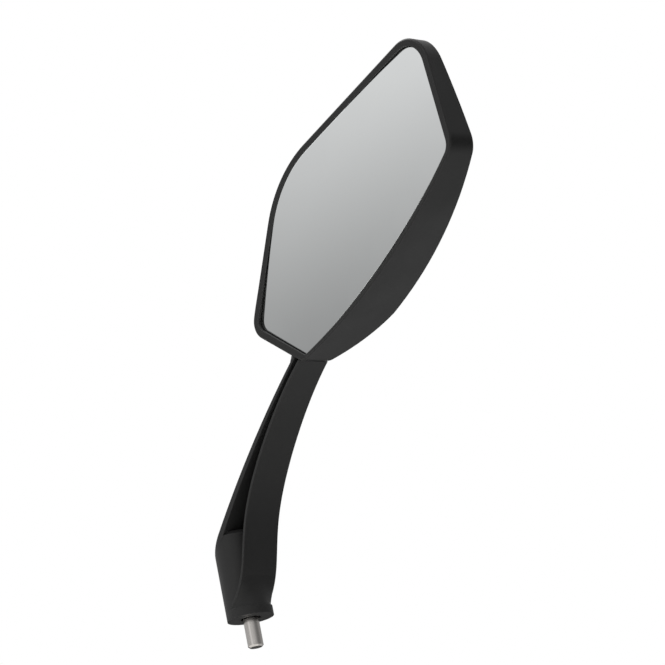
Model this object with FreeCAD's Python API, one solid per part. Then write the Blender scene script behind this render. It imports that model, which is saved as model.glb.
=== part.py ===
import FreeCAD, Part
import math
import os

V = FreeCAD.Vector
UP = V(0, 0, 1)
BACKWARD = V(0, 1, 0)

# Mirror for the right side of a handlebar, in millimetres. The origin is the centre of the foot's seat.
# +Z runs up the stud's axis, the glass looks along -Y and +X points outboard.

# Mounting stud
STUD_DIAMETER = 8.0
STUD_LENGTH = 15.0
STUD_CHAMFER = 0.8
STUD_SHANK_DIAMETER = 7.0
STUD_GRIP = 24.0
STUD_RECESS_DIAMETER = 10.6
STUD_RECESS_DEPTH = 3.0
SHANK_CLEARANCE = 0.05

# Arm: round foot, outer and inner flange in the XZ plane, depth along Y
FOOT_DIAMETER = 23.8
COLLAR_HEIGHT = 4.6
POST_HEIGHT = 44.0
POST_CHAMFER = 1.8
STUD_BOSS_RADIUS = 4.8
STUD_BOSS_HEIGHT = 7.2
ARM_TOP_DEPTH = 19.0
OUTER_START_REACH = -0.5
OUTER_LOW_REACH = 9.8
OUTER_LOW_HEIGHT = 16.0
OUTER_MIDDLE_REACH = 19.2
OUTER_MIDDLE_HEIGHT = 40.7
OUTER_HIGH_REACH = 39.8
OUTER_HIGH_HEIGHT = 74.3
INNER_START_REACH = -14.0
INNER_START_HEIGHT = 26.2
ARM_MIDDLE_WIDTH = 7.9
OUTER_FLANGE_THICKNESS = 1.3
INNER_FLANGE_TOP_THICKNESS = 1.1
INNER_FLANGE_FOOT_THICKNESS = 3.4
WEB_THICKNESS = 2.6
ARM_END_OUTER = 2.6
ARM_END_INNER = 8.1
ARM_END_OVERRUN = 2.0
FLANGE_TOLERANCE = 0.1

# Head: outline in its own plane, from the outer corner of its foot
HEAD_FOOT_X = 80.8
HEAD_FOOT_Z = 109.8
HEAD_LEAN = 38.06
FOOT_WIDTH = 40.7
OUTBOARD_REACH = 58.3
OUTBOARD_HEIGHT = 139.8
OUTBOARD_BULGE = 8.4
TIP_OFFSET = 10.9
TIP_HEIGHT = 187.0
INBOARD_REACH = 55.5
INBOARD_HEIGHT = 79.1
FOOT_OUTER_RADIUS = 6.0
OUTBOARD_RADIUS = 11.8
TIP_RADIUS = 16.0
INBOARD_RADIUS = 65.0
FOOT_INNER_RADIUS = 9.0
SMALLEST_RADIUS = 1.0

# Head: depth and shell
FRONT_DEPTH = 11.0
BACK_THICKNESS = 34.4
BACK_CROWN_ALONG = 30.6
BACK_CROWN_ACROSS = 1.5
BACK_RADIUS = 442.0
CHIN_LENGTH = 43.0
CHIN_RADIUS = 68.3
CHIN_SWEEP = 60.0
WALL_DRAFT = 4.0
WALL = 2.4
RIM_WIDTH = 4.0
RIM_OUTBOARD_WIDTH = 2.0
LEDGE_WIDTH = 4.0
LEDGE_THICKNESS = 3.4
RIM_EDGE_CHAMFER = 0.8

# Glass and its tape
GLASS_RADIUS = 1400.0
GLASS_THICKNESS = 2.0
GLASS_CROWN = 0.8
GLASS_GAP = 0.35
TAPE_THICKNESS = 0.8
TAPE_MARGIN = 0.4

# Swivel between arm and head: pin, bush, stop, spring and nut on one axis along the head
PIVOT_ACROSS = 11.0
PIVOT_DEPTH = 1.0
PIN_DIAMETER = 6.0
PIN_GRIP = 16.0
PIN_FLAT_DEPTH = 0.8
PIN_OVERHANG = 1.0
BUSH_CLEARANCE = 0.05
BUSH_WALL = 1.5
BUSH_FLANGE_RADIUS = 6.8
BUSH_FLANGE_THICKNESS = 1.0
PIVOT_BOSS_RADIUS = 12.0
PIVOT_BOSS_HEIGHT = 8.0
SWIVEL_LIMIT = 25.0
STOP_MARGIN = 1.0
STOP_THICKNESS = 1.2
STOP_RADIUS = 6.5
STOP_TAB_WIDTH = 5.0
STOP_TAB_REACH = 9.8
STOP_POST_RADIUS = 1.8
STOP_POST_HEIGHT = 3.0
STOP_POST_OFFSET = 9.0
SPRING_DIAMETER = 12.0
SPRING_THICKNESS = 0.7
NUT_WIDTH = 10.0
NUT_HEIGHT = 5.0
SEAM_GAP = 0.3
SEAM_WASHER_RADIUS = 5.8
SEAM_WASHER_RECESS = 0.5
ARM_BOSS_TOP_RADIUS = 7.0
ARM_BOSS_FOOT_RADIUS = 5.0
ARM_BOSS_LENGTH = 26.0
ARM_BOSS_TIP_RADIUS = 1.5
ARM_BOSS_TIP_LENGTH = 5.0

# The head's own directions
LEAN = math.radians(HEAD_LEAN)
ALONG = V(math.sin(LEAN), 0, math.cos(LEAN))
ACROSS = V(-math.cos(LEAN), 0, math.sin(LEAN))
HEAD_TURN = FreeCAD.Rotation(ACROSS * -1, BACKWARD, ALONG)
HEAD_FOOT = V(HEAD_FOOT_X, 0, HEAD_FOOT_Z)
FOOT_RADIUS = FOOT_DIAMETER / 2
OUTER_FLANGE = [
    V(OUTER_START_REACH, 0, COLLAR_HEIGHT),
    V(OUTER_LOW_REACH, 0, OUTER_LOW_HEIGHT),
    V(OUTER_MIDDLE_REACH, 0, OUTER_MIDDLE_HEIGHT),
    V(OUTER_HIGH_REACH, 0, OUTER_HIGH_HEIGHT),
]
INNER_START = V(INNER_START_REACH, 0, INNER_START_HEIGHT)
INNER_MIDDLE = OUTER_FLANGE[-1] + ACROSS * ARM_MIDDLE_WIDTH
PIN_RADIUS = PIN_DIAMETER / 2
BUSH_RADIUS = PIN_RADIUS + BUSH_CLEARANCE + BUSH_WALL
BUSH_TOP = PIVOT_BOSS_HEIGHT + BUSH_FLANGE_THICKNESS
STOP_TOP = BUSH_TOP + STOP_THICKNESS
SPRING_TOP = STOP_TOP + SPRING_THICKNESS
NUT_TOP = SPRING_TOP + NUT_HEIGHT
BIG = 400.0


def head_point(across, depth, along):
    """Point in the head, from the outer corner of its foot: across the foot, along Y, up the head's axis."""
    return HEAD_FOOT + ACROSS * across + BACKWARD * depth + ALONG * along


PIVOT = head_point(PIVOT_ACROSS, PIVOT_DEPTH, 0)


def outline_corners():
    """Sharp corners of the head's front in its own plane, anticlockwise from the outer foot corner."""
    return [
        V(0, 0, 0),
        V(OUTBOARD_REACH, OUTBOARD_HEIGHT, 0),
        V(TIP_OFFSET, TIP_HEIGHT, 0),
        V(-INBOARD_REACH, INBOARD_HEIGHT, 0),
        V(-FOOT_WIDTH, 0, 0),
    ]


CORNER_RADII = [FOOT_OUTER_RADIUS, OUTBOARD_RADIUS, TIP_RADIUS, INBOARD_RADIUS, FOOT_INNER_RADIUS]


class StraightSide:
    """Straight side of the outline, with the head on its left."""

    def __init__(self, start, end):
        self.start = start
        self.direction = (end - start).normalize()

    def moved_in(self, distance):
        left = V(-self.direction.y, self.direction.x, 0)
        begin = self.start + left * distance
        return StraightSide(begin, begin + self.direction)

    def nearest(self, point):
        return self.start + self.direction * (point - self.start).dot(self.direction)

    def edge(self, begin, end):
        return Part.LineSegment(to_head(begin), to_head(end))


class BulgedSide:
    """Side of the outline that bulges outwards on one arc."""

    def __init__(self, centre, radius):
        self.centre = centre
        self.radius = radius

    def moved_in(self, distance):
        return BulgedSide(self.centre, self.radius - distance)

    def nearest(self, point):
        return self.centre + (point - self.centre).normalize() * self.radius

    def edge(self, begin, end):
        return Part.Arc(to_head(begin), to_head(self.nearest((begin + end) * 0.5)), to_head(end))


def to_head(point):
    return head_point(-point.x, 0, point.y)


def bulged_side(start, end, bulge):
    chord = end - start
    radius = chord.Length ** 2 / (8 * bulge) + bulge / 2
    left = V(-chord.y, chord.x, 0).normalize()
    return BulgedSide((start + end) * 0.5 + left * (radius - bulge), radius)


def crossing(first, second, near):
    """Where two sides of the outline cross, next to a given point."""
    if isinstance(first, BulgedSide):
        first, second = second, first
    if isinstance(second, BulgedSide):
        foot = first.nearest(second.centre)
        half = math.sqrt(second.radius ** 2 - (foot - second.centre).Length ** 2)
        choices = [foot + first.direction * half, foot - first.direction * half]
        return min(choices, key=lambda point: (point - near).Length)
    gap = second.start - first.start
    turn = first.direction.cross(second.direction).z
    return first.start + first.direction * (gap.cross(second.direction).z / turn)


def outline(inset, depth, draft=0.0, ease=0.0):
    """Rounded outline of the head, moved in by an inset. Draft moves in every side but the flat foot.

    Ease moves the outboard side back out.
    """
    corners = outline_corners()
    count = len(corners)
    sides = [bulged_side(corners[0], corners[1], OUTBOARD_BULGE)]
    sides += [StraightSide(corners[i], corners[(i + 1) % count]) for i in range(1, count)]
    insets = [inset + draft - ease] + [inset + draft] * (count - 2) + [inset]
    sides = [side.moved_in(distance) for side, distance in zip(sides, insets)]
    rounds = []
    for i, corner in enumerate(corners):
        before = sides[i - 1]
        after = sides[i]
        radius = max(CORNER_RADII[i] - inset - draft, SMALLEST_RADIUS)
        centre = crossing(before.moved_in(radius), after.moved_in(radius), corner)
        leave = before.nearest(centre)
        join = after.nearest(centre)
        middle = centre + ((leave - centre) + (join - centre)).normalize() * radius
        rounds.append((leave, middle, join))
    curves = []
    for i, (leave, middle, join) in enumerate(rounds):
        curves.append(Part.Arc(to_head(leave), to_head(middle), to_head(join)))
        curves.append(sides[i].edge(join, rounds[(i + 1) % count][0]))
    wire = Part.Wire([curve.toShape() for curve in curves])
    wire.translate(BACKWARD * depth)
    return wire


def outline_prism(inset, start, end):
    """Straight prism between two depths, inset from the outline, less so beside the narrow outboard rim."""
    ease = RIM_WIDTH - RIM_OUTBOARD_WIDTH
    return Part.Face(outline(inset, start, ease=ease)).extrude(BACKWARD * (end - start))


def drafted_prism(inset, start, end):
    """Prism of the inset outline whose walls lean in towards the back."""
    lean = math.tan(math.radians(WALL_DRAFT))
    wires = [outline(inset, depth, (depth + FRONT_DEPTH) * lean) for depth in (start, end)]
    return Part.makeLoft(wires, True, True)


def back_block(wall):
    """Everything in front of the crowned back, moved in by a wall."""
    centre = BACK_THICKNESS - FRONT_DEPTH - BACK_RADIUS
    return Part.makeSphere(BACK_RADIUS - wall, head_point(BACK_CROWN_ACROSS, centre, BACK_CROWN_ALONG))


def chin_block(wall):
    """Everything in front of the round chin above the foot, moved in by a wall."""
    radius = CHIN_RADIUS - wall
    centre = BACK_THICKNESS - FRONT_DEPTH - CHIN_RADIUS

    def side_point(depth, along):
        return head_point(-BIG / 2, depth, along)

    def on_chin(share):
        turn = math.radians(CHIN_SWEEP * share)
        return side_point(centre + radius * math.cos(turn), CHIN_LENGTH - radius * math.sin(turn))

    foot = CHIN_LENGTH - radius * math.sin(math.radians(CHIN_SWEEP))
    corners = [
        on_chin(1),
        side_point(-BIG, foot),
        side_point(-BIG, BIG),
        side_point(BIG, BIG),
        side_point(BIG, CHIN_LENGTH),
        on_chin(0),
    ]
    edges = [Part.LineSegment(a, b).toShape() for a, b in zip(corners, corners[1:])]
    edges.append(Part.Arc(on_chin(0), on_chin(0.5), on_chin(1)).toShape())
    return Part.Face(Part.Wire(edges)).extrude(ACROSS * BIG)


def glass_ball(behind):
    """Ball whose front is the glass's curved face, or a face that lies behind it."""
    middle = Part.Face(outline(0, 0)).CenterOfMass
    centre = V(middle.x, GLASS_RADIUS - FRONT_DEPTH - GLASS_CROWN, middle.z)
    return Part.makeSphere(GLASS_RADIUS - behind, centre)


def pivot_cylinder(radius, start, end):
    """Cylinder on the swivel's axis, from one height to another above the head's foot."""
    return Part.makeCylinder(radius, end - start, PIVOT + ALONG * start, ALONG)


def head_box(width, depth, height, base):
    """Box square to the head, standing on the middle of its base."""
    box = Part.makeBox(width, depth, height, V(-width / 2, -depth / 2, 0))
    box.Placement = FreeCAD.Placement(base, HEAD_TURN)
    return box


def keyed_rod(clearance, start, end):
    """Swivel pin's flatted end, or a hole for it with a clearance."""
    rod = pivot_cylinder(PIN_RADIUS + clearance, start, end)
    flat = PIN_RADIUS - PIN_FLAT_DEPTH + clearance
    base = PIVOT + ACROSS * (flat + PIN_DIAMETER) + ALONG * start
    return rod.cut(head_box(PIN_DIAMETER * 2, PIN_DIAMETER * 2, end - start, base))


def stop_posts():
    """Two posts in the head that the stop's tab meets at the ends of the swivel."""
    touch = math.asin((STOP_TAB_WIDTH / 2 + STOP_POST_RADIUS) / STOP_POST_OFFSET)
    turn = math.radians(SWIVEL_LIMIT + STOP_MARGIN) + touch
    posts = []
    for side in (-1, 1):
        way = ACROSS * side * math.sin(turn) + BACKWARD * math.cos(turn)
        base = PIVOT + way * STOP_POST_OFFSET + ALONG * PIVOT_BOSS_HEIGHT
        posts.append(Part.makeCylinder(STOP_POST_RADIUS, STOP_POST_HEIGHT, base, ALONG))
    return posts


def make_glass():
    inset = RIM_WIDTH + GLASS_GAP
    blank = outline_prism(inset, -FRONT_DEPTH - BIG / 20, BIG / 20)
    return blank.common(glass_ball(0)).cut(glass_ball(GLASS_THICKNESS))


def make_tape():
    reach = BIG / 20
    outer = outline_prism(RIM_WIDTH + GLASS_GAP + TAPE_MARGIN, -FRONT_DEPTH, reach)
    inner = outline_prism(RIM_WIDTH + LEDGE_WIDTH, -FRONT_DEPTH, reach)
    ring = outer.cut(inner)
    return ring.common(glass_ball(GLASS_THICKNESS)).cut(glass_ball(GLASS_THICKNESS + TAPE_THICKNESS))


def on_front(vertex):
    return abs(vertex.Point.y + FRONT_DEPTH) < SMALLEST_RADIUS / 10


def shell_form():
    """Outer form of the housing: leaning walls, crowned back and chin, chamfered round the rim."""
    form = drafted_prism(0, -FRONT_DEPTH, BACK_THICKNESS)
    form = form.common(back_block(0)).common(chin_block(0))
    front = [edge for edge in form.Edges if all(on_front(v) for v in edge.Vertexes)]
    return form.makeChamfer(RIM_EDGE_CHAMFER, front)


def make_housing():
    form = shell_form()
    reach = BIG / 20
    pocket = outline_prism(RIM_WIDTH, -FRONT_DEPTH - reach, reach)
    pocket = pocket.cut(glass_ball(GLASS_THICKNESS + TAPE_THICKNESS))
    ledge_back = -FRONT_DEPTH + GLASS_THICKNESS + TAPE_THICKNESS + LEDGE_THICKNESS
    hollow = drafted_prism(WALL, ledge_back, BACK_THICKNESS)
    hollow = hollow.fuse(outline_prism(RIM_WIDTH + LEDGE_WIDTH, -FRONT_DEPTH - reach, ledge_back + WALL))
    hollow = hollow.common(back_block(WALL)).common(chin_block(WALL))
    boss = pivot_cylinder(PIVOT_BOSS_RADIUS, 0, PIVOT_BOSS_HEIGHT).common(form)
    housing = form.cut(hollow).fuse(boss).cut(pocket)
    for post in stop_posts():
        housing = housing.fuse(post)
    return housing.cut(pivot_cylinder(BUSH_RADIUS + SHANK_CLEARANCE, -WALL, PIVOT_BOSS_HEIGHT))


def flange_curve():
    """Outer face of the outer flange, from the foot to just past the seam under the head."""
    end = head_point(ARM_END_OUTER, 0, ARM_END_OVERRUN)
    curve = Part.BSplineCurve()
    curve.interpolate(OUTER_FLANGE + [end])
    return curve


def flange_inside(outer):
    """Inner face of the outer flange."""
    shifted = []
    for point in OUTER_FLANGE + [outer.value(outer.LastParameter)]:
        tangent = outer.tangent(outer.parameter(point))[0]
        shifted.append(point - BACKWARD.cross(tangent).normalize() * OUTER_FLANGE_THICKNESS)
    curve = Part.BSplineCurve()
    curve.interpolate(shifted)
    return curve


def inner_arc(foot_shift, top_shift):
    """Inner flange's arc, moved into the arm by one distance at its foot and another at its top."""
    end = head_point(ARM_END_INNER, 0, ARM_END_OVERRUN)
    into = BACKWARD.cross(end - INNER_START).normalize()
    middle = INNER_MIDDLE + into * (foot_shift + top_shift) / 2
    return Part.Arc(INNER_START + into * foot_shift, middle, end + into * top_shift)


def side_face(outer, inner):
    """Side view of the arm between the outer flange's curve, drawn in arcs, and the inner flange's."""
    low = outer.value(outer.FirstParameter)
    high = outer.value(outer.LastParameter)
    inner_low = inner.value(inner.FirstParameter)
    inner_high = inner.value(inner.LastParameter)
    corner = V(inner_low.x, 0, low.z)
    edges = [arc.toShape() for arc in outer.toBiArcs(FLANGE_TOLERANCE)]
    edges += [
        Part.LineSegment(high, inner_high).toShape(),
        inner.toShape(),
        Part.LineSegment(inner_low, corner).toShape(),
        Part.LineSegment(corner, low).toShape(),
    ]
    return Part.Face(Part.Wire(Part.sortEdges(edges)[0]))


def plan_prism(shift):
    """Plan of the arm: round at the foot, narrowing towards the head. Shift moves it forward."""
    reach = head_point(ARM_END_OUTER, 0, ARM_END_OVERRUN).x
    half_top = ARM_TOP_DEPTH / 2
    points = [V(0, FOOT_RADIUS, 0), V(reach, half_top, 0), V(reach, -half_top, 0), V(0, -FOOT_RADIUS, 0)]
    edges = [Part.LineSegment(a, b).toShape() for a, b in zip(points, points[1:])]
    edges.append(Part.Arc(points[3], V(-FOOT_RADIUS, 0, 0), points[0]).toShape())
    face = Part.Face(Part.Wire(edges))
    face.translate(BACKWARD * -shift)
    return face.extrude(UP * BIG)


def make_arm():
    outer = flange_curve()
    depth = BACKWARD * BIG
    whole = side_face(outer, inner_arc(0, 0)).translated(depth * -0.5).extrude(depth)
    blade = whole.common(plan_prism(0))

    inner = inner_arc(INNER_FLANGE_FOOT_THICKNESS, INNER_FLANGE_TOP_THICKNESS)
    inside = side_face(flange_inside(outer), inner)
    channel = inside.translated(depth * -0.5).extrude(depth).common(plan_prism(WEB_THICKNESS))
    boss_end = PIVOT + BACKWARD * FOOT_RADIUS - ALONG * ARM_BOSS_LENGTH
    boss_height = ARM_BOSS_LENGTH + ARM_END_OVERRUN
    channel = channel.cut(head_box(FOOT_DIAMETER, FOOT_DIAMETER, boss_height, boss_end))
    post = Part.makeCylinder(FOOT_RADIUS, POST_HEIGHT)
    rim = [edge for edge in post.Edges if edge.CenterOfMass.z > POST_HEIGHT - POST_CHAMFER]
    arm = blade.cut(channel.cut(post.makeChamfer(POST_CHAMFER, rim)))
    arm = arm.fuse(Part.makeCylinder(FOOT_RADIUS, COLLAR_HEIGHT))
    arm = arm.fuse(Part.makeCone(FOOT_RADIUS, STUD_BOSS_RADIUS, STUD_BOSS_HEIGHT, UP * COLLAR_HEIGHT))

    boss = Part.makeCone(ARM_BOSS_TOP_RADIUS, ARM_BOSS_FOOT_RADIUS, ARM_BOSS_LENGTH, PIVOT, ALONG * -1)
    tip = Part.makeCone(ARM_BOSS_FOOT_RADIUS, ARM_BOSS_TIP_RADIUS, ARM_BOSS_TIP_LENGTH,
                        PIVOT - ALONG * ARM_BOSS_LENGTH, ALONG * -1)
    beside = side_face(outer, inner_arc(-FOOT_DIAMETER, -FOOT_DIAMETER))
    arm = arm.fuse(boss.fuse(tip).common(beside.translated(depth * -0.5).extrude(depth)))
    arm = arm.cut(head_box(BIG, BIG, BIG, PIVOT - ALONG * SEAM_GAP))

    arm = arm.cut(Part.makeCylinder(STUD_RECESS_DIAMETER / 2, STUD_RECESS_DEPTH))
    arm = arm.cut(Part.makeCylinder(STUD_SHANK_DIAMETER / 2 + SHANK_CLEARANCE, STUD_GRIP))
    arm = arm.cut(pivot_cylinder(SEAM_WASHER_RADIUS + SHANK_CLEARANCE, -SEAM_GAP - SEAM_WASHER_RECESS, 0))
    arm = arm.cut(pivot_cylinder(PIN_RADIUS + SHANK_CLEARANCE, -SEAM_GAP - PIN_GRIP, 0))
    return arm.removeSplitter()


def make_stud():
    thread = Part.makeCylinder(STUD_DIAMETER / 2, STUD_LENGTH + STUD_RECESS_DEPTH, V(0, 0, -STUD_LENGTH))
    tip = [edge for edge in thread.Edges if edge.CenterOfMass.z < -STUD_LENGTH + STUD_CHAMFER / 2]
    thread = thread.makeChamfer(STUD_CHAMFER, tip)
    return thread.fuse(Part.makeCylinder(STUD_SHANK_DIAMETER / 2, STUD_GRIP)).removeSplitter()


def make_pin():
    """Swivel pin, held in the arm and flatted where the stop sits on it."""
    pin = pivot_cylinder(PIN_RADIUS, -SEAM_GAP - PIN_GRIP, BUSH_TOP)
    return pin.fuse(keyed_rod(0, BUSH_TOP, NUT_TOP + PIN_OVERHANG)).removeSplitter()


def make_seam_washer():
    washer = pivot_cylinder(SEAM_WASHER_RADIUS, -SEAM_GAP - SEAM_WASHER_RECESS, 0)
    return washer.cut(pivot_cylinder(PIN_RADIUS + SHANK_CLEARANCE, -SEAM_GAP - SEAM_WASHER_RECESS, 0))


def make_bush():
    """Flanged bush of the head, in which the pin turns."""
    bush = pivot_cylinder(BUSH_RADIUS, 0, PIVOT_BOSS_HEIGHT)
    bush = bush.fuse(pivot_cylinder(BUSH_FLANGE_RADIUS, PIVOT_BOSS_HEIGHT, BUSH_TOP))
    return bush.cut(pivot_cylinder(PIN_RADIUS + BUSH_CLEARANCE, 0, BUSH_TOP)).removeSplitter()


def make_stop():
    """Stop washer, keyed to the pin's flat, with a tab that meets the head's posts."""
    plate = pivot_cylinder(STOP_RADIUS, BUSH_TOP, STOP_TOP)
    base = PIVOT + BACKWARD * STOP_TAB_REACH / 2 + ALONG * BUSH_TOP
    plate = plate.fuse(head_box(STOP_TAB_WIDTH, STOP_TAB_REACH, STOP_THICKNESS, base))
    return plate.cut(keyed_rod(SHANK_CLEARANCE, BUSH_TOP, STOP_TOP)).removeSplitter()


def make_spring():
    """Disc spring under the nut, pressed flat, which gives the swivel its friction."""
    spring = pivot_cylinder(SPRING_DIAMETER / 2, STOP_TOP, SPRING_TOP)
    return spring.cut(pivot_cylinder(PIN_RADIUS + SHANK_CLEARANCE, STOP_TOP, SPRING_TOP))


def make_nut():
    corner = NUT_WIDTH / math.sqrt(3)
    base = PIVOT + ALONG * SPRING_TOP
    turns = [math.radians(60 * i) for i in range(7)]
    points = [base + ACROSS * corner * math.cos(t) + BACKWARD * corner * math.sin(t) for t in turns]
    nut = Part.Face(Part.makePolygon(points)).extrude(ALONG * NUT_HEIGHT)
    return nut.cut(pivot_cylinder(PIN_RADIUS + SHANK_CLEARANCE, SPRING_TOP, NUT_TOP))


def main():
    pieces = {
        "mirror_arm": make_arm(),
        "mounting_stud": make_stud(),
        "pivot_pin": make_pin(),
        "seam_washer": make_seam_washer(),
        "stop_washer": make_stop(),
        "disc_spring": make_spring(),
        "pivot_nut": make_nut(),
        "mirror_housing": make_housing(),
        "mirror_glass": make_glass(),
        "glass_tape": make_tape(),
        "pivot_bush": make_bush(),
    }
    os.makedirs("parts", exist_ok=True)
    for name, shape in pieces.items():
        shape.exportStep(os.path.join("parts", name + ".step"))


main()
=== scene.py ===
import math

import bmesh
import bpy
from mathutils import Matrix, Vector
from mathutils.geometry import interpolate_bezier


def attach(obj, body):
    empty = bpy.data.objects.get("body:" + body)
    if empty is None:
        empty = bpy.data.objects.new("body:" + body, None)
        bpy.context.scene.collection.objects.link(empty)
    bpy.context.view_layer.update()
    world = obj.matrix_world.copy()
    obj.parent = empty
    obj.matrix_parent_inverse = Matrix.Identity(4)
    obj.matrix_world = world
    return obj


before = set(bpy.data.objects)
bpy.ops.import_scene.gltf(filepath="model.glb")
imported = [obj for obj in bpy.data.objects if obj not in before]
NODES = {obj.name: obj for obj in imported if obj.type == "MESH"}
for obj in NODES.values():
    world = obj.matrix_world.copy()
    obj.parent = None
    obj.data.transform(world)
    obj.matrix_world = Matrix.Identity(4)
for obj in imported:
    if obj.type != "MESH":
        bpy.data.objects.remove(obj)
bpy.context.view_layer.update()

bl_info = {
    "name": "Motorcycle Mirror",
    "version": (1, 0, 0),
    "blender": (4, 5, 0),
    "location": "View3D > Sidebar > Mirror",
    "description": "Gives the mirror its edges and finishes and sets a plain studio round it",
    "category": "Object",
}

MILLIMETRE = 0.001


def linear(code):
    """Linear colour of an sRGB hex value."""
    shares = [int(code[i:i + 2], 16) / 255 for i in (0, 2, 4)]
    return tuple(s / 12.92 if s <= 0.04045 else ((s + 0.055) / 1.055) ** 2.4 for s in shares)


def per_metre(millimetres):
    """Texture scale whose cells are this many millimetres across."""
    return 1 / (millimetres * MILLIMETRE)


def size_property(label, note, millimetres):
    """Length that a user may change, with its default in millimetres."""
    return bpy.props.FloatProperty(
        name=label, description=note, default=millimetres * MILLIMETRE, min=0, precision=5,
        subtype="DISTANCE", unit="LENGTH",
    )


def colour_property(label, note, code):
    """Colour that a user may change, with its default as an sRGB hex value."""
    return bpy.props.FloatVectorProperty(
        name=label, description=note, default=linear(code), min=0, max=1, size=3, subtype="COLOR",
    )


class MirrorSizes(bpy.types.PropertyGroup):
    """Sizes of edges and patterns, and of the picture. The grain of the moulding, the waves of the
    paint and the turning marks are finer than a pixel in truth, so they are drawn coarser."""
    housing_edge: size_property("Housing Edge", "Round on the moulded edges of the housing", 0.7)
    arm_edge: size_property("Arm Edge", "Round on the painted edges of the arm", 0.5)
    glass_edge: size_property("Glass Edge", "Ground edge of the glass", 0.35)
    steel_edge: size_property("Steel Edge", "Broken edge of the turned steel pieces", 0.15)
    moulding_grain: size_property("Moulding Grain", "Grain of the housing's moulded texture", 0.9)
    paint_peel: size_property("Paint Peel", "Waves in the arm's paint", 1.6)
    turning_pitch: size_property("Turning Pitch", "Spacing of the turning marks on the stud", 0.45)
    camera_distance: size_property(
        "Camera Distance", "From the camera to the middle of the mirror", 10000)
    frame_width: size_property(
        "Frame Width", "Width that the picture takes in at the mirror", 332.5)
    floor_drop: size_property("Floor Drop", "How far the floor lies under the foot", 2900)


class MirrorColours(bpy.types.PropertyGroup):
    """Colours of the finishes and of the floor."""
    housing: colour_property("Housing", "Black of the moulded housing", "222222")
    # Paler edge colour of the housing: partly rubbed wear, partly a painted highlight along the
    # edges
    housing_wear_and_highlight: colour_property("Housing Edge", "Black of the housing's rubbed edges", "606060")
    arm: colour_property("Arm", "Black of the arm's paint", "303030")
    # Paler edge colour of the arm: partly rubbed wear, partly a painted highlight along the edges
    arm_wear_and_highlight: colour_property("Arm Edge", "Black of the arm's rubbed edges", "464646")
    silver: colour_property("Silver", "Silvering behind the glass", "e2e4e4")
    steel: colour_property("Steel", "Bright plated steel", "d2ceca")
    nylon: colour_property("Nylon", "Natural nylon of the bush and washer", "d9d6c8")
    tape: colour_property("Tape", "Foam tape behind the glass", "202123")
    floor: colour_property("Floor", "Pale studio floor", "f2f2f0")


def sizes():
    return bpy.context.scene.mirror_sizes


def colours():
    return bpy.context.scene.mirror_colours


def add_node(tree, kind, settings=None, links=None):
    """Adds a node, sets its properties and sockets by name and links its inputs."""
    node = tree.nodes.new(kind)
    for name, value in (settings or {}).items():
        if isinstance(name, int) or name in node.inputs:
            node.inputs[name].default_value = value
        else:
            setattr(node, name, value)
    for name, socket in (links or {}).items():
        tree.links.new(socket, node.inputs[name])
    return node


def new_material(name):
    """Empty node material and its tree."""
    material = bpy.data.materials.new(name)
    material.use_nodes = True
    material.node_tree.nodes.clear()
    return material, material.node_tree


def finish_material(tree, shader):
    add_node(tree, "ShaderNodeOutputMaterial", links={"Surface": shader.outputs["BSDF"]})


BEVEL_SAMPLES = 6
# How fast the edges turn pale: partly rubbed wear, partly a painted highlight
EDGE_WEAR_AND_HIGHLIGHT = 2.2

# Sockets of a Mix node that mixes colours
MIX_FIRST = 6
MIX_SECOND = 7
MIX_RESULT = 2

# Patches where hands have polished or dulled the black pieces, in millimetres and in roughness
HANDLED_PATCH = 34
HANDLED_POLISH = 0.05
HANDLED_DULLING = 0.06


def edge_wear_and_highlight_share(tree, bevel):
    """Share of paler edge at a point, partly rubbed wear and partly a painted highlight: how far
    the rounded normal turns from the flat one.
    """
    geometry = add_node(tree, "ShaderNodeNewGeometry")
    likeness = add_node(tree, "ShaderNodeVectorMath", {"operation": "DOT_PRODUCT"},
                        {0: bevel.outputs["Normal"], 1: geometry.outputs["Normal"]})
    turned = add_node(tree, "ShaderNodeMath", {"operation": "SUBTRACT", 0: 1.0},
                      {1: likeness.outputs["Value"]})
    share = add_node(tree, "ShaderNodeMath",
                     {"operation": "MULTIPLY", "use_clamp": True, 1: EDGE_WEAR_AND_HIGHLIGHT},
                     {0: turned.outputs["Value"]})
    return share.outputs["Value"]


def black_finish(name, dark, worn_and_highlit, edge, grain, depth, roughness, shine):
    """Satin black skin: a fine grain, patches of more and less gloss, and paler edges, partly
    rubbed wear and partly a painted highlight.
    """
    material, tree = new_material(name)
    place = add_node(tree, "ShaderNodeTexCoord").outputs["Object"]
    fine = add_node(tree, "ShaderNodeTexNoise", {"Scale": 1 / grain, "Detail": 3.0},
                    {"Vector": place})
    handled = add_node(tree, "ShaderNodeTexNoise",
                       {"Scale": per_metre(HANDLED_PATCH), "Detail": 2.0}, {"Vector": place})
    bevel = add_node(tree, "ShaderNodeBevel", {"samples": BEVEL_SAMPLES, "Radius": edge})
    # Painted highlight and rubbed wear: the edges are mixed towards the paler colour
    tone_with_edge_highlight = add_node(tree, "ShaderNodeMix",
                    {"data_type": "RGBA", MIX_FIRST: (*dark, 1), MIX_SECOND: (*worn_and_highlit, 1)},
                    {0: edge_wear_and_highlight_share(tree, bevel)})
    gloss = add_node(tree, "ShaderNodeMapRange",
                     {"From Min": 0.3, "From Max": 0.7, "To Min": roughness - HANDLED_POLISH,
                      "To Max": roughness + HANDLED_DULLING},
                     {"Value": handled.outputs["Fac"]})
    bump = add_node(tree, "ShaderNodeBump", {"Strength": 0.35, "Distance": depth},
                    {"Height": fine.outputs["Fac"], "Normal": bevel.outputs["Normal"]})
    shader = add_node(tree, "ShaderNodeBsdfPrincipled", {"IOR": 1.5, "Specular IOR Level": shine},
                      {"Base Color": tone_with_edge_highlight.outputs[MIX_RESULT],
                       "Roughness": gloss.outputs["Result"], "Normal": bump.outputs["Normal"]})
    finish_material(tree, shader)
    return material


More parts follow.
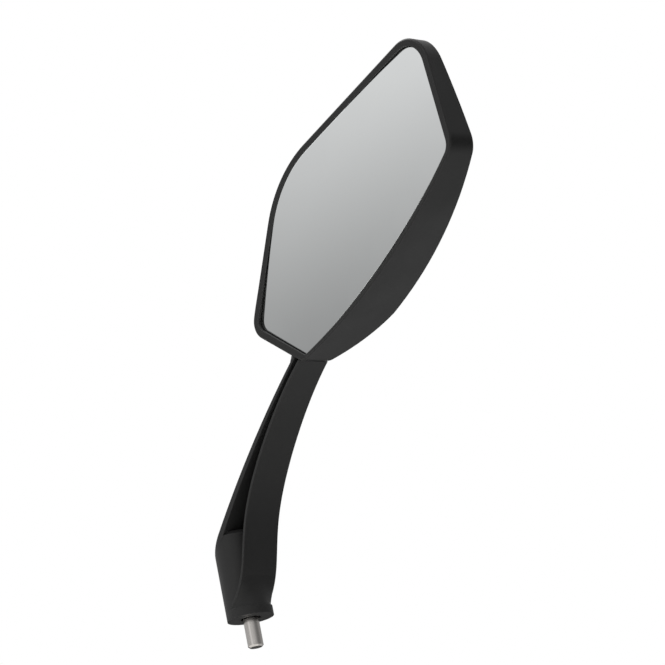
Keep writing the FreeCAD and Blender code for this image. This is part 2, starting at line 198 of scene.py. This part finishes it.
def moulded_abs():
    """Black ABS from a spark-eroded mould: an even satin skin, paler at the edges from rubbed wear
    and a painted highlight.
    """
    return black_finish(
        "moulded_black_abs", colours().housing, colours().housing_wear_and_highlight, sizes().housing_edge,
        sizes().moulding_grain, depth=0.03 * MILLIMETRE, roughness=0.42, shine=0.28)


def painted_casting():
    """Black paint on die-cast aluminium: satin, with the shallow waves of sprayed paint."""
    return black_finish(
        "black_painted_casting", colours().arm, colours().arm_wear_and_highlight, sizes().arm_edge,
        sizes().paint_peel, depth=0.04 * MILLIMETRE, roughness=0.46, shine=0.18)


FILM_PATCH = 45


def silvered_glass():
    """Silvered float glass: a clean mirror with the faintest film on its face."""
    material, tree = new_material("silvered_convex_glass")
    place = add_node(tree, "ShaderNodeTexCoord").outputs["Object"]
    film = add_node(tree, "ShaderNodeTexNoise", {"Scale": per_metre(FILM_PATCH), "Detail": 3.0},
                    {"Vector": place})
    haze = add_node(tree, "ShaderNodeMapRange",
                    {"From Min": 0.35, "From Max": 0.75, "To Min": 0.012, "To Max": 0.03},
                    {"Value": film.outputs["Fac"]})
    bevel = add_node(tree, "ShaderNodeBevel",
                     {"samples": BEVEL_SAMPLES, "Radius": sizes().glass_edge})
    shader = add_node(tree, "ShaderNodeBsdfPrincipled",
                      {"Base Color": (*colours().silver, 1), "Metallic": 1.0, "Coat Weight": 0.3},
                      {"Roughness": haze.outputs["Result"], "Normal": bevel.outputs["Normal"]})
    finish_material(tree, shader)
    return material


# Distance from ring to ring of a Wave texture whose scale is 1
WAVE_PITCH = 0.314
PLATING_SPOT = 2.5


def turned_steel():
    """Turned and plated steel: bright, with fine rings left by the tool."""
    material, tree = new_material("turned_plated_steel")
    place = add_node(tree, "ShaderNodeTexCoord").outputs["Object"]
    rings = add_node(tree, "ShaderNodeTexWave",
                     {"bands_direction": "Z", "Scale": WAVE_PITCH / sizes().turning_pitch,
                      "Distortion": 0.4, "Detail": 1.0},
                     {"Vector": place})
    spots = add_node(tree, "ShaderNodeTexNoise", {"Scale": per_metre(PLATING_SPOT), "Detail": 4.0},
                     {"Vector": place})
    gloss = add_node(tree, "ShaderNodeMapRange", {"To Min": 0.12, "To Max": 0.22},
                     {"Value": spots.outputs["Fac"]})
    bevel = add_node(tree, "ShaderNodeBevel",
                     {"samples": BEVEL_SAMPLES, "Radius": sizes().steel_edge})
    bump = add_node(tree, "ShaderNodeBump", {"Strength": 0.25, "Distance": 0.02 * MILLIMETRE},
                    {"Height": rings.outputs["Fac"], "Normal": bevel.outputs["Normal"]})
    shader = add_node(tree, "ShaderNodeBsdfPrincipled",
                      {"Base Color": (*colours().steel, 1), "Metallic": 1.0},
                      {"Roughness": gloss.outputs["Result"], "Normal": bump.outputs["Normal"]})
    finish_material(tree, shader)
    return material


NYLON_CLOUD = 3


def natural_nylon():
    """Moulded nylon: milky, a little waxy."""
    material, tree = new_material("natural_nylon")
    place = add_node(tree, "ShaderNodeTexCoord").outputs["Object"]
    cloud = add_node(tree, "ShaderNodeTexNoise", {"Scale": per_metre(NYLON_CLOUD), "Detail": 2.0},
                     {"Vector": place})
    gloss = add_node(tree, "ShaderNodeMapRange", {"To Min": 0.38, "To Max": 0.55},
                     {"Value": cloud.outputs["Fac"]})
    shader = add_node(tree, "ShaderNodeBsdfPrincipled",
                      {"Base Color": (*colours().nylon, 1), "IOR": 1.53, "Subsurface Weight": 0.2,
                       "Subsurface Scale": 1.0 * MILLIMETRE},
                      {"Roughness": gloss.outputs["Result"]})
    finish_material(tree, shader)
    return material


FOAM_CELL = 0.6


def foam_tape():
    """Closed-cell foam tape: matt black with a fine cell texture."""
    material, tree = new_material("black_foam_tape")
    place = add_node(tree, "ShaderNodeTexCoord").outputs["Object"]
    cells = add_node(tree, "ShaderNodeTexVoronoi", {"Scale": per_metre(FOAM_CELL)},
                     {"Vector": place})
    bump = add_node(tree, "ShaderNodeBump", {"Strength": 0.5, "Distance": 0.1 * MILLIMETRE},
                    {"Height": cells.outputs["Distance"]})
    shader = add_node(tree, "ShaderNodeBsdfPrincipled",
                      {"Base Color": (*colours().tape, 1), "Roughness": 0.9, "IOR": 1.45},
                      {"Normal": bump.outputs["Normal"]})
    finish_material(tree, shader)
    return material


WELD_DISTANCE = 0.002 * MILLIMETRE
NODE_CREASE = math.radians(24)


def dress(name, material):
    """Puts a finish on a node and joins its triangles so that curved faces shade smoothly."""
    node = NODES[name]
    node.data.materials.clear()
    node.data.materials.append(material)
    node.data.shade_smooth()
    weld = node.modifiers.new("weld", "WELD")
    weld.merge_threshold = WELD_DISTANCE
    split = node.modifiers.new("creases", "EDGE_SPLIT")
    split.split_angle = NODE_CREASE


class MIRROR_OT_housing(bpy.types.Operator):
    """Finish the housing as a black moulding"""
    bl_idname = "mirror.housing"
    bl_label = "Housing"

    def execute(self, context):
        dress("mirror_housing", moulded_abs())
        return {"FINISHED"}


class MIRROR_OT_glass(bpy.types.Operator):
    """Finish the glass and the tape behind it"""
    bl_idname = "mirror.glass"
    bl_label = "Glass"

    def execute(self, context):
        dress("mirror_glass", silvered_glass())
        dress("glass_tape", foam_tape())
        return {"FINISHED"}


# Flare above the collar, in millimetres. Its two edges on the arm's wide face and its crest between
# them are Bezier curves, given as reach and height.
FLARE_EDGE = ((-0.7, 4.6), (6.12, 9.73), (9.29, 14.87), (11.65, 20.0))
FLARE_CREST = ((11.93, 4.6), (11.0, 9.73), (10.3, 14.87), (11.8, 20.0))
FLARE_FOOT = 2.6
FLARE_HALF_DEPTH = 11.8
FLARE_NARROWING = 0.03
FLARE_WALL = 0.6
FLARE_ROWS = 20
FLARE_COLUMNS = 40
FLARE_CREASE = math.radians(40)

# The flare's section is a power of a cosine: round at 1, hollow above it. The power grows by 1 in
# the lower half, and the far side differs by a share that falls from its foot upwards.
FLARE_HOLLOWING = 2.0
FLARE_FAR_FOOT = 0.35
FLARE_FAR_TOP = -0.5
FLARE_FAR_FALL = 2.1


def flare_curve(points):
    """Points of one of the flare's curves, carried straight down over the collar."""
    controls = (Vector((reach, 0, height)) for reach, height in points)
    curve = interpolate_bezier(*controls, FLARE_ROWS)
    return [Vector((curve[0].x, 0, FLARE_FOOT)), *curve]


def flare_power(turn, risen):
    """Power of the flare's section, by the turn round it and the share of its height."""
    power = 1 + min(1, FLARE_HOLLOWING * risen)
    if turn > 0:
        power += max(FLARE_FAR_TOP, FLARE_FAR_FOOT - FLARE_FAR_FALL * risen)
    return power


def add_flare(material):
    """Cast blend from the arm's wide face to the collar: round at the collar, flat at the face."""
    edge, crest = flare_curve(FLARE_EDGE), flare_curve(FLARE_CREST)
    mesh = bmesh.new()
    bmesh.ops.create_grid(mesh, x_segments=FLARE_COLUMNS, y_segments=FLARE_ROWS, size=1)
    for vertex in mesh.verts:
        row = round((vertex.co.y + 1) / 2 * FLARE_ROWS)
        turn = vertex.co.x * math.pi / 2
        bulge = max(0, math.cos(turn)) ** flare_power(turn, row / FLARE_ROWS)
        reach = edge[row].x + (crest[row].x - edge[row].x) * bulge
        depth = (FLARE_HALF_DEPTH - FLARE_NARROWING * edge[row].x) * math.sin(turn)
        vertex.co = Vector((reach, depth, edge[row].z)) * MILLIMETRE
    bmesh.ops.recalc_face_normals(mesh, faces=mesh.faces[:])
    bmesh.ops.solidify(mesh, geom=mesh.faces[:], thickness=-FLARE_WALL * MILLIMETRE)
    bmesh.ops.recalc_face_normals(mesh, faces=mesh.faces[:])
    data = bpy.data.meshes.new("arm_foot_flare")
    mesh.to_mesh(data)
    mesh.free()
    data.materials.append(material)
    data.shade_smooth()
    flare = bpy.data.objects.new("arm_foot_flare", data)
    bpy.context.scene.collection.objects.link(flare)
    split = flare.modifiers.new("creases", "EDGE_SPLIT")
    split.split_angle = FLARE_CREASE
    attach(flare, "stem")


class MIRROR_OT_arm(bpy.types.Operator):
    """Finish the arm as a painted casting and blend its wide face into the collar"""
    bl_idname = "mirror.arm"
    bl_label = "Arm"

    def execute(self, context):
        paint = painted_casting()
        dress("mirror_arm", paint)
        add_flare(paint)
        return {"FINISHED"}


class MIRROR_OT_steel(bpy.types.Operator):
    """Finish the stud and the steel pieces of the swivel"""
    bl_idname = "mirror.steel"
    bl_label = "Steel Pieces"

    def execute(self, context):
        steel = turned_steel()
        for name in ("mounting_stud", "pivot_pin", "stop_washer", "disc_spring", "pivot_nut"):
            dress(name, steel)
        return {"FINISHED"}


class MIRROR_OT_nylon(bpy.types.Operator):
    """Finish the bush and the washer of the swivel"""
    bl_idname = "mirror.nylon"
    bl_label = "Nylon Pieces"

    def execute(self, context):
        nylon = natural_nylon()
        for name in ("pivot_bush", "seam_washer"):
            dress(name, nylon)
        return {"FINISHED"}


# The camera stands in front of the outboard side, below the foot, and leans to its right
CAMERA_AZIMUTH = math.radians(45)
CAMERA_ELEVATION = math.radians(-13)
CAMERA_LEAN = math.radians(10.7)
CAMERA_AIM_RIGHT = 41.0 * MILLIMETRE
CAMERA_AIM_UP = 143.5 * MILLIMETRE
CAMERA_AIM_NEAR = 30 * MILLIMETRE
CAMERA_SIGHT = 100.0
SENSOR_WIDTH = 36.0


def camera_axes():
    """Right, up and back directions of the camera."""
    level = math.cos(CAMERA_ELEVATION)
    back = Vector((math.sin(CAMERA_AZIMUTH) * level, -math.cos(CAMERA_AZIMUTH) * level,
                   math.sin(CAMERA_ELEVATION)))
    right = Vector((0, 0, 1)).cross(back).normalized()
    up = back.cross(right)
    lean = Matrix.Rotation(-CAMERA_LEAN, 3, back)
    return lean @ right, lean @ up, back


CAMERA_RIGHT, CAMERA_UP, CAMERA_BACK = camera_axes()


def add_camera():
    distance = sizes().camera_distance
    camera = bpy.data.objects.new("camera", bpy.data.cameras.new("camera"))
    bpy.context.scene.collection.objects.link(camera)
    aim = (CAMERA_RIGHT * CAMERA_AIM_RIGHT + CAMERA_UP * CAMERA_AIM_UP
           + CAMERA_BACK * CAMERA_AIM_NEAR)
    turn = Matrix((CAMERA_RIGHT, CAMERA_UP, CAMERA_BACK)).transposed().to_4x4()
    camera.matrix_world = Matrix.Translation(aim + CAMERA_BACK * distance) @ turn
    camera.data.sensor_width = SENSOR_WIDTH
    camera.data.lens = SENSOR_WIDTH * distance / sizes().frame_width
    camera.data.clip_end = CAMERA_SIGHT
    bpy.context.scene.camera = camera


# The floor, in metres. It lies in front of the mirror and to the left, where the glass shows it.
FLOOR_WIDTH = 30.0
FLOOR_LENGTH = 33.0
FLOOR_RIGHT = 5.5
FLOOR_BACK = 0.8
FLOOR_CLOUD = 700


def add_floor():
    """Plain pale floor, painted matt."""
    material, tree = new_material("pale_studio_floor")
    place = add_node(tree, "ShaderNodeTexCoord").outputs["Object"]
    cloud = add_node(tree, "ShaderNodeTexNoise", {"Scale": per_metre(FLOOR_CLOUD), "Detail": 2.0},
                     {"Vector": place})
    gloss = add_node(tree, "ShaderNodeMapRange", {"To Min": 0.8, "To Max": 0.95},
                     {"Value": cloud.outputs["Fac"]})
    shader = add_node(tree, "ShaderNodeBsdfPrincipled", {"Base Color": (*colours().floor, 1)},
                      {"Roughness": gloss.outputs["Result"]})
    finish_material(tree, shader)
    middle = (FLOOR_RIGHT - FLOOR_WIDTH / 2, FLOOR_BACK - FLOOR_LENGTH / 2, -sizes().floor_drop)
    bpy.ops.mesh.primitive_plane_add(size=FLOOR_WIDTH, location=middle)
    floor = bpy.context.active_object
    floor.data.transform(Matrix.Diagonal((1, FLOOR_LENGTH / FLOOR_WIDTH, 1, 1)))
    floor.name = "studio_floor"
    floor.data.materials.append(material)


# How bright the studio is by direction: from the camera's left to its right, from the horizon
# upwards, and from the horizon down
SOFTLY = {"interpolation_type": "SMOOTHSTEP"}
STUDIO_ACROSS = {"From Min": -0.9, "From Max": 0.9, "To Min": 0.78, "To Max": 0.3}
STUDIO_UPWARDS = {"From Min": 0.08, "From Max": 0.4, "To Min": 0.28, "To Max": 1.35}
STUDIO_DOWNWARDS = {"From Min": -0.3, "From Max": 0.0, "To Min": 0.3, "To Max": 1.0}
WHITE = (1, 1, 1, 1)

# Soft lights: where each one stands, the cosine of the angle where it fades out, and its strength
SOFT_LIGHTS = (
    (Vector((0, 0.6, -0.8)), 0.6, 0.6),         # bounce from below and behind
    (CAMERA_BACK, 0.55, 0.21),                  # fill beside the camera
    (Vector((-0.5, 0.2, 0.84)), 0.82, 2.0),     # key above on the left
    (Vector((0, -1, 0)), 0.92, 0.4),            # pale wall in front, which the glass shows
    (Vector((0.21, 0.88, 0.42)), 0.7, 0.15),    # faint light behind
)


def add_world():
    """Soft studio: white to the camera, brighter on its left and upwards, with soft lights."""
    world = bpy.data.worlds.new("soft_studio")
    world.use_nodes = True
    tree = world.node_tree
    tree.nodes.clear()
    way = add_node(tree, "ShaderNodeTexCoord").outputs["Generated"]
    across = add_node(tree, "ShaderNodeVectorMath", {"operation": "DOT_PRODUCT", 1: CAMERA_RIGHT},
                      {0: way})
    side = add_node(tree, "ShaderNodeMapRange", {**SOFTLY, **STUDIO_ACROSS},
                    {"Value": across.outputs["Value"]})
    height = add_node(tree, "ShaderNodeSeparateXYZ", links={"Vector": way})
    rise = add_node(tree, "ShaderNodeMapRange", {**SOFTLY, **STUDIO_UPWARDS},
                    {"Value": height.outputs["Z"]})
    fall = add_node(tree, "ShaderNodeMapRange", STUDIO_DOWNWARDS, {"Value": height.outputs["Z"]})
    sky = add_node(tree, "ShaderNodeMath", {"operation": "MULTIPLY"},
                   {0: rise.outputs["Result"], 1: fall.outputs["Result"]})
    level = add_node(tree, "ShaderNodeMath", {"operation": "MULTIPLY"},
                     {0: side.outputs["Result"], 1: sky.outputs["Value"]})
    for towards, start, strength in SOFT_LIGHTS:
        facing = add_node(tree, "ShaderNodeVectorMath", {"operation": "DOT_PRODUCT", 1: towards},
                          {0: way})
        glow = add_node(tree, "ShaderNodeMapRange",
                        {**SOFTLY, "From Min": start, "To Max": strength},
                        {"Value": facing.outputs["Value"]})
        level = add_node(tree, "ShaderNodeMath", {"operation": "ADD"},
                         {0: level.outputs["Value"], 1: glow.outputs["Result"]})
    studio = add_node(tree, "ShaderNodeBackground", {"Color": WHITE},
                      {"Strength": level.outputs["Value"]})
    white = add_node(tree, "ShaderNodeBackground", {"Color": WHITE, "Strength": 1.0})
    path = add_node(tree, "ShaderNodeLightPath")
    mix = add_node(tree, "ShaderNodeMixShader",
                   links={0: path.outputs["Is Camera Ray"], 1: studio.outputs["Background"],
                          2: white.outputs["Background"]})
    add_node(tree, "ShaderNodeOutputWorld", links={"Surface": mix.outputs["Shader"]})
    bpy.context.scene.world = world


class MIRROR_OT_studio(bpy.types.Operator):
    """Add the floor, the soft light and the camera"""
    bl_idname = "mirror.studio"
    bl_label = "Studio"

    def execute(self, context):
        context.scene.view_settings.view_transform = "Standard"
        add_floor()
        add_world()
        add_camera()
        return {"FINISHED"}


class MIRROR_PT_panel(bpy.types.Panel):
    """Sizes, colours and steps of the mirror"""
    bl_idname = "MIRROR_PT_panel"
    bl_label = "Motorcycle Mirror"
    bl_space_type = "VIEW_3D"
    bl_region_type = "UI"
    bl_category = "Mirror"

    def draw(self, context):
        for group in (context.scene.mirror_sizes, context.scene.mirror_colours):
            column = self.layout.column(align=True)
            for name in group.__annotations__:
                column.prop(group, name)
        column = self.layout.column(align=True)
        for step in STEPS:
            column.operator(step.bl_idname)


STEPS = (MIRROR_OT_housing, MIRROR_OT_glass, MIRROR_OT_arm, MIRROR_OT_steel, MIRROR_OT_nylon,
         MIRROR_OT_studio)
CLASSES = (MirrorSizes, MirrorColours, *STEPS, MIRROR_PT_panel)


def register():
    for item in CLASSES:
        bpy.utils.register_class(item)
    bpy.types.Scene.mirror_sizes = bpy.props.PointerProperty(type=MirrorSizes)
    bpy.types.Scene.mirror_colours = bpy.props.PointerProperty(type=MirrorColours)


def unregister():
    del bpy.types.Scene.mirror_colours
    del bpy.types.Scene.mirror_sizes
    for item in reversed(CLASSES):
        bpy.utils.unregister_class(item)


def main():
    register()
    bpy.ops.mirror.housing()
    bpy.ops.mirror.glass()
    bpy.ops.mirror.arm()
    bpy.ops.mirror.steel()
    bpy.ops.mirror.nylon()
    bpy.ops.mirror.studio()


if __name__ == "__main__":
    main()
